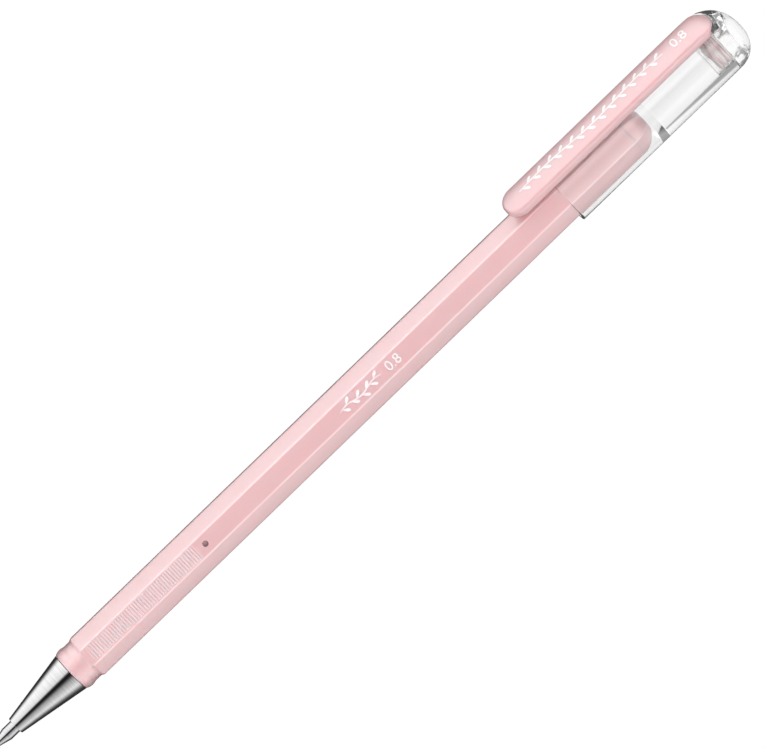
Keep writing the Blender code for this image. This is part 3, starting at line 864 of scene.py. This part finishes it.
def tail_plug():
    """The hollow spigot in the barrel's end, and the dome, eight-sided at its foot only."""
    rings = [[place(PLUG_HOLLOW_END, 0, 0)]]
    for station, radius in (
        (PLUG_HOLLOW_END, PLUG_BORE_RADIUS),
        (PLUG_FRONT, PLUG_BORE_RADIUS),
        (PLUG_FRONT, PLUG_SPIGOT_RADIUS - 0.08),
        (PLUG_FRONT + 0.3, PLUG_SPIGOT_RADIUS),
        (PLUG_SHOULDER, PLUG_SPIGOT_RADIUS),
    ):
        rings.append([place(station, angle, radius) for angle, _, _ in OCTAGON])
    rings.append(eight_sided(PLUG_SHOULDER, TAIL_HALF_FLAT, 1))
    dome_front = PLUG_SHOULDER + 0.06
    steps = 24
    for i in range(steps):
        angle = i / steps * math.pi / 2
        station = dome_front + (PLUG_END - dome_front) * math.sin(angle)
        size = TAIL_HALF_FLAT * math.cos(angle)
        rings.append(eight_sided(station, size, math.cos(angle) ** 2))
    rings.append([place(PLUG_END, 0, 0)])
    piece("domed_tail", skin(rings), "barrel", PINK, "pearl_pink", "tail_plug")


# Cap


def cap_tube():
    profile = [
        (MOUTH, CAP_BORE_RADIUS + 0.1),
        (MOUTH, CAP_RADIUS - 0.1),
        (MOUTH + 0.1, CAP_RADIUS),
        (CAP_TUBE_END, CAP_RADIUS),
        (CAP_TUBE_END, CAP_NARROW_RADIUS),
        (CAP_SEAT_END, CAP_NARROW_RADIUS),
        (CAP_SEAT_START, CAP_BORE_RADIUS),
        (MOUTH + 0.3, CAP_BORE_RADIUS),
    ]
    obj = piece("clear_tube", turned(profile, 0.12, 128), "cap", CLEAR, "clear_plastic", "cap_tube")
    obj.visible_shadow = False  # lets the lamps reach what is inside it


def closing(station, start):
    """1 as far as a station, then falling along a blunt curve to 0 at the cap's end."""
    t = max(0, (station - start) / (HEAD_END - start))
    return max(0, 1 - t ** HEAD_FULLNESS) ** (1 / HEAD_FULLNESS)


def head_ring(station, inset=0):
    """The dome's circle and the lug's square-shouldered outline, wrapped in one convex curve."""
    dome = CAP_RADIUS * closing(station, HEAD_FRONT)
    shrink = closing(station, LUG_CURVE_START)
    corner = LUG_CORNER * shrink
    out = CLIP_OUTER * shrink - corner
    aside = LUG_HALF_WIDTH * shrink - corner
    ring = []
    for k in range(FINE):
        angle = FULL_TURN * k / FINE
        reach = math.inf
        for half_degrees in range(-160, 161):
            turn = math.radians(half_degrees / 2)
            facing = angle + turn - CLIP_ANGLE
            lug = out * math.cos(facing) + aside * abs(math.sin(facing)) + corner
            reach = min(reach, max(dome, lug) / math.cos(turn))
        ring.append(place(station, angle, reach - inset))
    return ring


def cap_head():
    rings = [[place(HEAD_POCKET_END, 0, 0)]]
    inner = softened(
        [
            (HEAD_POCKET_END, 0.5),
            (HEAD_POCKET_END, HEAD_POCKET_RADIUS),
            (HEAD_BORE_END, HEAD_POCKET_RADIUS),
            (HEAD_BORE_END, HEAD_BORE_RADIUS),
            (HEAD_SPIGOT_FRONT, HEAD_BORE_RADIUS),
            (HEAD_SPIGOT_FRONT, HEAD_SPIGOT_RADIUS),
            (HEAD_FRONT, HEAD_SPIGOT_RADIUS),
        ],
        0.1,
        False,
    )
    rings += [circle(s, r) for s, r in inner]
    rings.append(head_ring(HEAD_FRONT, 0.08))
    rings.append(head_ring(HEAD_FRONT + 0.08))
    steps = 24
    for i in range(1, steps):
        angle = i / steps * math.pi / 2
        station = HEAD_FRONT + (HEAD_END - HEAD_FRONT) * math.sin(angle)
        rings.append(head_ring(station))
    rings.append([place(HEAD_END, 0, 0)])
    grown = CLIP_CLEARANCE
    low = (FOOT_FRONT - grown, -FOOT_HALF_WIDTH - grown, FOOT_INNER - grown)
    high = (FOOT_BACK + grown, FOOT_HALF_WIDTH + grown, CLIP_INNER + 1)
    bm = cut(skin(rings), [clip_bar(grown, CLIP_OUTER + 1), block(low, high)])
    obj = piece("clear_head", bm, "cap", CLEAR_HEAD, "clear_plastic", "cap_head")
    obj.visible_shadow = False  # lets the lamps reach the seal


def inner_seal():
    """A soft ring with ribs round it, the first and the last of them at its ends."""
    profile = [(SEAL_FRONT, SEAL_HOLE_RADIUS)]
    pitch = (SEAL_END - SEAL_FRONT) / (SEAL_RIBS - 0.2)
    for rib in range(SEAL_RIBS):
        start = SEAL_FRONT + rib * pitch
        profile += [
            (start, SEAL_ROOT_RADIUS),
            (start + 0.2 * pitch, SEAL_RIB_RADIUS),
            (start + 0.6 * pitch, SEAL_RIB_RADIUS),
            (start + 0.8 * pitch, SEAL_ROOT_RADIUS),
        ]
    profile.append((SEAL_END, SEAL_HOLE_RADIUS))
    piece("ribbed_seal", turned(profile, 0.08, 64), "cap", SEAL, "soft_seal", "inner_seal")


def block(low, high):
    """A box in the clip's own directions, from two corners (station, aside, outward)."""
    bm = bmesh.new()
    bmesh.ops.create_cube(bm, size=1)
    for vert in bm.verts:
        spot = [a if co < 0 else b for co, a, b in zip(vert.co, low, high)]
        vert.co = beside(CLIP_ANGLE, *spot)
    bmesh.ops.recalc_face_normals(bm, faces=bm.faces)
    return bm


def clip_layers():
    """The clip's cross-section from its inner face up, as (inset from the side, share of the
    thickness): a fillet, a fillet, and half of a crowned outer face."""
    thickness = CLIP_OUTER - CLIP_INNER
    fillet_centre = thickness - CROWN_RADIUS + (CROWN_RADIUS - CLIP_FILLET) * math.cos(CLIP_CROWN)
    layers = []
    steps = 8
    for i in range(steps + 1):
        turn = i / steps * math.pi / 2
        layers.append((CLIP_FILLET * (1 - math.sin(turn)), CLIP_FILLET * (1 - math.cos(turn))))
    for i in range(steps + 1):
        turn = math.pi / 2 - i / steps * (math.pi / 2 - CLIP_CROWN)
        height = fillet_centre + CLIP_FILLET * math.cos(turn)
        layers.append((CLIP_FILLET * (1 - math.sin(turn)), height))
    for i in range(steps):
        turn = CLIP_CROWN * (1 - (i + 0.97) / steps)
        height = thickness - CROWN_RADIUS * (1 - math.cos(turn))
        layers.append((CLIP_HALF_WIDTH - CROWN_RADIUS * math.sin(turn), height))
    return [(inset, height / thickness) for inset, height in layers]


def clip_bar(grown=0, outer=None):
    """The clip's long rounded bar: its plan, stacked from inner to outer face. Grown, and with
    its outer face further out, it is the cutter for the notch that it lies in."""
    half_width = CLIP_HALF_WIDTH + grown
    inner = CLIP_INNER - grown
    free_centre = CLIP_FREE_END + CLIP_HALF_WIDTH
    root_centre = CLIP_ROOT_END - CLIP_HALF_WIDTH
    end_steps = 20
    length_steps = 40
    bm = bmesh.new()
    rows = []
    for inset, share in clip_layers():
        radius = half_width - inset
        spots = []
        for i in range(end_steps + 1):
            turn = i / end_steps * math.pi / 2
            spots.append((free_centre - radius * math.cos(turn), radius * math.sin(turn)))
        for i in range(1, length_steps):
            spots.append((free_centre + (root_centre - free_centre) * i / length_steps, radius))
        for i in range(end_steps + 1):
            turn = (1 - i / end_steps) * math.pi / 2
            spots.append((root_centre + radius * math.cos(turn), radius * math.sin(turn)))
        row = []
        for station, aside in spots:
            top = outer or CLIP_OUTER * closing(station, LUG_CURVE_START)
            height = inner + (top - inner) * share
            sides = [beside(CLIP_ANGLE, station, aside, height)]
            if aside > 1e-6:
                sides.append(beside(CLIP_ANGLE, station, -aside, height))
            row.append([bm.verts.new(point) for point in sides])
        rows.append(row)
    for low, high in zip(rows, rows[1:]):
        for i in range(len(low) - 1):
            for side in (0, -1):
                quad = (low[i][side], low[i + 1][side], high[i + 1][side], high[i][side])
                bm.faces.new(quad)
    for row in (rows[0], rows[-1]):
        for here, after in zip(row, row[1:]):
            quad = (here[0], after[0], after[-1], here[-1])
            bm.faces.new(list(dict.fromkeys(quad)))
    bmesh.ops.recalc_face_normals(bm, faces=bm.faces)
    return bm


def clip():
    """The bar, and the foot that holds it in the head's pocket."""
    piece("long_clip", clip_bar(), "clip", CLIP_PINK, "clip_pink", "clip")
    low = (FOOT_FRONT, -FOOT_HALF_WIDTH, FOOT_INNER)
    high = (FOOT_BACK, FOOT_HALF_WIDTH, CLIP_INNER + FOOT_SUNK)
    foot = block(low, high)
    bmesh.ops.bevel(foot, geom=foot.edges, offset=0.12 * MM, segments=3, affect="EDGES")
    piece("clip_foot", foot, "clip", CLIP_PINK, "clip_pink")


# Printing


def clip_face(aside):
    """How far the clip's outer face is from the axis, beside its middle."""
    return CLIP_OUTER - CROWN_RADIUS + math.sqrt(CROWN_RADIUS ** 2 - aside ** 2)


def outline_on(facing, face, outlines):
    """Closed outlines of (station, aside) points, as thin raised ink on a face."""
    bm = bmesh.new()
    for outline in outlines:
        low = [bm.verts.new(beside(facing, s, a, face(a) - PRINT_SUNK)) for s, a in outline]
        high = [bm.verts.new(beside(facing, s, a, face(a) + PRINT_HEIGHT)) for s, a in outline]
        bm.faces.new(low)
        bm.faces.new(high)
        for i in range(len(low)):
            after = (i + 1) % len(low)
            bm.faces.new((low[i], low[after], high[after], high[i]))
    bmesh.ops.recalc_face_normals(bm, faces=bm.faces)
    return bm


def leaf(station, aside, length, width, lean):
    """An almond shape that leans away from the stem."""
    points = []
    for i in range(24):
        turn = FULL_TURN * i / 24
        along = length / 2 * (1 - math.cos(turn))
        across = width / 2 * math.sin(turn) * math.sin(turn / 2)
        points.append(
            (
                station + along * math.cos(lean) - across * math.sin(lean),
                aside + along * math.sin(lean) + across * math.cos(lean),
            )
        )
    return points


def sprig(start, end, height, pairs):
    """A plain leafy spray: one gently waving stem and a leaf on either side by turns."""
    def stem(station):
        return 0.12 * height * math.sin((station - start) / (end - start) * math.pi * 3)

    upper = []
    lower = []
    steps = 60
    for i in range(steps + 1):
        station = start + (end - start) * i / steps
        half = 0.07 + 0.04 * math.sin(math.pi * i / steps)
        upper.append((station, stem(station) + half))
        lower.append((station, stem(station) - half))
    outlines = [upper + lower[::-1]]
    for i in range(pairs * 2):
        side = 1 if i % 2 else -1
        station = start + (end - start) * (i + 0.6) / (pairs * 2 + 1)
        lean = side * math.radians(38)
        outlines.append(
            leaf(station, stem(station) + side * 0.07, height * 0.62, height * 0.3, lean)
        )
    return outlines


def numeral(text, facing, face, station, size):
    """A plain number, as thin raised ink centred across a face."""
    curve = bpy.data.curves.new("numeral", "FONT")
    curve.body = text
    curve.size = size
    curve.align_y = "CENTER"
    curve.resolution_u = 6
    source = bpy.data.objects.new("numeral", curve)
    bpy.context.scene.collection.objects.link(source)
    flat = bpy.data.meshes.new_from_object(source)
    bm = bmesh.new()
    bm.from_mesh(flat)
    bpy.data.objects.remove(source)
    bpy.data.meshes.remove(flat)
    grown = bmesh.ops.extrude_face_region(bm, geom=bm.faces[:])["geom"]
    raised = {v for v in grown if isinstance(v, bmesh.types.BMVert)}
    for vert in bm.verts:
        height = face(vert.co.y) + (PRINT_HEIGHT if vert in raised else -PRINT_SUNK)
        vert.co = beside(facing, station + vert.co.x, vert.co.y, height)
    bmesh.ops.remove_doubles(bm, verts=bm.verts, dist=1e-7)
    bmesh.ops.recalc_face_normals(bm, faces=bm.faces)
    return bm


def printing():
    spray = outline_on(CLIP_ANGLE, clip_face, sprig(*CLIP_SPRAY))
    piece("clip_spray_print", spray, "clip", WHITE_INK, "clip_pink")
    number = numeral(SIZE_MARK, CLIP_ANGLE, clip_face, *CLIP_NUMBER)
    piece("clip_size_print", number, "clip", WHITE_INK, "clip_pink")
    spray = outline_on(0, barrel_face, sprig(*BARREL_SPRAY))
    piece("barrel_spray_print", spray, "barrel", PALE_INK, "pearl_pink")
    number = numeral(SIZE_MARK, 0, barrel_face, *BARREL_NUMBER)
    piece("barrel_size_print", number, "barrel", PALE_INK, "pearl_pink")


# Studio


def floor():
    bm = bmesh.new()
    bmesh.ops.create_grid(bm, x_segments=2, y_segments=2, size=FLOOR_HALF_WIDTH * MM)
    mesh = bpy.data.meshes.new("floor")
    bm.to_mesh(mesh)
    bm.free()
    mesh.materials.append(light_table("light_table"))
    obj = bpy.data.objects.new("floor", mesh)
    bpy.context.scene.collection.objects.link(obj)
    obj.visible_glossy = False
    obj.visible_diffuse = False
    obj.visible_transmission = False
    obj.visible_shadow = False  # lets the lamp below reach the pen


# Brightness round the pen, by the angle from straight up towards +Y: long soft lights on both
# sides, the stronger on the +Y side, with a dark gap overhead and a dark room below.
SKY = (
    (-180, 0.02),
    (-130, 0.03),
    (-120, 0.05),
    (-108, 0.14),
    (-96, 0.36),
    (-85, 0.64),
    (-75, 0.79),
    (-66, 0.73),
    (-48, 0.53),
    (-32, 0.38),
    (-23, 0.22),
    (-14, 0.06),
    (-7, 0.012),
    (5, 0.012),
    (11, 0.18),
    (17, 0.66),
    (23, 0.80),
    (40, 0.90),
    (57, 0.98),
    (75, 1.02),
    (85, 1.02),
    (96, 0.88),
    (108, 0.48),
    (120, 0.12),
    (130, 0.03),
    (180, 0.02),
)

# What shows through the clear plastic, by the angle from straight down: the lit table, past its
# edge the dim room, above that the lights, and the dark gap overhead.
THROUGH = (
    (0, 1.0),
    (38, 1.0),
    (50, 0.36),
    (80, 0.30),
    (90, 0.50),
    (100, 1.20),
    (150, 1.50),
    (165, 0.80),
    (172, 0.14),
    (180, 0.10),
)
TABLE_SHORT = -1.2  # how much nearer the table's edge is towards the writing tip


def greys(stops):
    """Stops for a ramp of greys, from (position, brightness) pairs."""
    return [(position, (grey, grey, grey)) for position, grey in stops]


def world():
    """Matt surfaces get part of the sky's light, and glossy ones all of it. Clear plastic shows the
    lit table and the room instead, but the matt surfaces inside it are lit by the sky too."""
    made = bpy.data.worlds.new("studio")
    bpy.context.scene.world = made
    made.use_nodes = True
    nodes = Tree(made.node_tree)
    direction = nodes.add("ShaderNodeTexCoord").outputs["Generated"]
    parts = nodes.add("ShaderNodeSeparateXYZ")
    nodes.join(direction, parts.inputs["Vector"])
    along, aside, upward = parts.outputs
    rays = nodes.add("ShaderNodeLightPath").outputs
    direct = nodes.math("LESS_THAN", rays["Diffuse Depth"], 0.5)

    sky = nodes.tree.nodes["Background"]
    turns = nodes.math("DIVIDE", nodes.math("ARCTAN2", aside, upward), FULL_TURN)
    round_pen = nodes.math("ADD", turns, 0.5)
    stops = greys((degrees / 360 + 0.5, grey) for degrees, grey in SKY)
    nodes.join(nodes.ramp(round_pen, *stops), sky.inputs["Color"])
    sharp = nodes.math("MAXIMUM", rays["Is Glossy Ray"], rays["Is Camera Ray"])
    mirrored = nodes.math("MULTIPLY", sharp, direct)  # 1 for what a glossy surface reflects
    clip_side = nodes.math("GREATER_THAN", aside, 0)
    more = nodes.math("MULTIPLY", clip_side, SOFT_SHARE - SOFT_SHARE_BEHIND)
    soft = nodes.math("ADD", more, SOFT_SHARE_BEHIND)
    share = nodes.math("MAXIMUM", mirrored, soft)
    nodes.join(nodes.math("MULTIPLY", share, SKY_STRENGTH), sky.inputs["Strength"])

    through = nodes.add("ShaderNodeBackground")
    through.inputs["Strength"].default_value = FLOOR_GLOW
    nearer = nodes.math("MULTIPLY", along, TABLE_SHORT)
    below = nodes.math("LESS_THAN", upward, 0)
    height = nodes.math("ADD", upward, nodes.math("MULTIPLY", nearer, below))
    from_below = nodes.math("ADD", nodes.math("MULTIPLY", height, 0.5), 0.5)
    stops = greys((0.5 - math.cos(math.radians(degrees)) / 2, grey) for degrees, grey in THROUGH)
    nodes.join(nodes.ramp(from_below, *stops), through.inputs["Color"])

    mix = nodes.add("ShaderNodeMixShader")
    seen_through = nodes.math("MULTIPLY", rays["Is Transmission Ray"], direct)
    nodes.join(seen_through, mix.inputs["Fac"])
    nodes.join(sky.outputs["Background"], mix.inputs[1])
    nodes.join(through.outputs["Background"], mix.inputs[2])
    nodes.join(mix.outputs["Shader"], nodes.tree.nodes["World Output"].inputs["Surface"])


def soft_lamp(name, power, lean):
    """A wide soft lamp at an angle from straight up, which lights matt surfaces and leaves no
    reflection of its own."""
    data = bpy.data.lights.new(name, "AREA")
    data.size = LAMP_WIDTH * MM
    data.energy = power
    obj = bpy.data.objects.new(name, data)
    bpy.context.scene.collection.objects.link(obj)
    obj.location = place(LAMP_STATION, lean, LAMP_DISTANCE)
    obj.rotation_euler.x = -lean
    obj.visible_glossy = False
    obj.visible_transmission = False
    obj.visible_camera = False


def camera():
    data = bpy.data.cameras.new("camera")
    data.lens = LENS
    data.sensor_width = SENSOR_WIDTH
    data.clip_end = 10
    obj = bpy.data.objects.new("camera", data)
    bpy.context.scene.collection.objects.link(obj)
    back = Vector((0, math.sin(CAMERA_TILT), math.cos(CAMERA_TILT)))
    right = Vector((math.cos(CAMERA_TURN), -math.sin(CAMERA_TURN), 0))
    right = (right - back * right.dot(back)).normalized()
    up = back.cross(right)
    distance = VIEW_WIDTH * MM * LENS / SENSOR_WIDTH
    target = place(VIEW_STATION, 0, 0) - Vector((0, VIEW_SIDEWAYS * MM, 0))
    turned_to = Matrix((right, up, back)).transposed().to_4x4()
    obj.matrix_world = Matrix.Translation(target + back * distance) @ turned_to
    bpy.context.scene.camera = obj


ball()
nib()
tip_holder()
refill()
nose_cone()
barrel()
tail_plug()
cap_tube()
cap_head()
inner_seal()
clip()
printing()
floor()
world()
soft_lamp("fill", FILL_POWER, FILL_LEAN)
soft_lamp("table_bounce", BOUNCE_POWER, BOUNCE_LEAN)
camera()
bpy.context.scene.view_settings.view_transform = "Standard"
